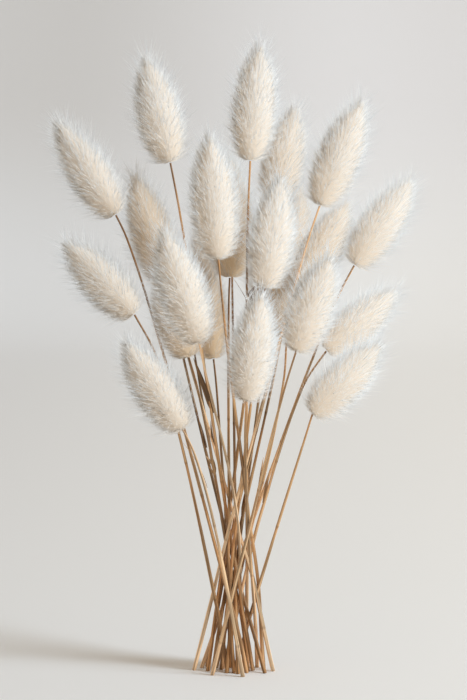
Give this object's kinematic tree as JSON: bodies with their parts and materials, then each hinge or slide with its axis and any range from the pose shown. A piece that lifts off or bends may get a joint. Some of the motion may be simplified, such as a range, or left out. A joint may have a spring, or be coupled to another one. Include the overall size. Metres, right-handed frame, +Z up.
{
  "type": "bundle of dried bunny tail grass",
  "caption": "Bundle of dried bunny tail grass: soft ovoid seed heads on slender straw stems that cross in a spiral, so that it stands on its cut ends.",
  "frame": {"origin": "on the surface that the cut ends stand on, at the middle of the bundle's bounding box", "axes": "+Z up along the bundle, +X to the right and +Y to the back as the picture shows it"},
  "size_m": [0.193, 0.1482, 0.3394],
  "materials": {
    "straw": "dry, matt straw with a faint waxy sheen",
    "bloom": "soft, fine, cream hairs"
  },
  "bodies": {
    "root": {"stem_01": "straw", "stem_02": "straw", "stem_03": "straw", "stem_04": "straw", "stem_05": "straw", "stem_06": "straw", "stem_07": "straw", "stem_08": "straw", "stem_09": "straw", "stem_10": "straw", "stem_11": "straw", "stem_12": "straw", "stem_13": "straw", "stem_14": "straw", "stem_15": "straw", "stem_16": "straw", "stem_17": "straw", "stem_18": "straw", "stem_19": "straw", "stem_20": "straw", "stem_21": "straw", "stem_22": "straw", "stem_23": "straw", "stem_24": "straw", "stem_25": "straw", "stem_26": "straw", "head_01": "bloom", "head_02": "bloom", "head_03": "bloom", "head_04": "bloom", "head_05": "bloom", "head_06": "bloom", "head_07": "bloom", "head_08": "bloom", "head_09": "bloom", "head_10": "bloom", "head_11": "bloom", "head_12": "bloom", "head_13": "bloom", "head_14": "bloom", "head_15": "bloom", "head_16": "bloom", "head_17": "bloom", "head_18": "bloom", "head_19": "bloom", "head_20": "bloom", "head_21": "bloom", "head_22": "bloom", "head_23": "bloom", "head_24": "bloom", "head_25": "bloom", "head_26": "bloom"}
  },
  "joints": []
}
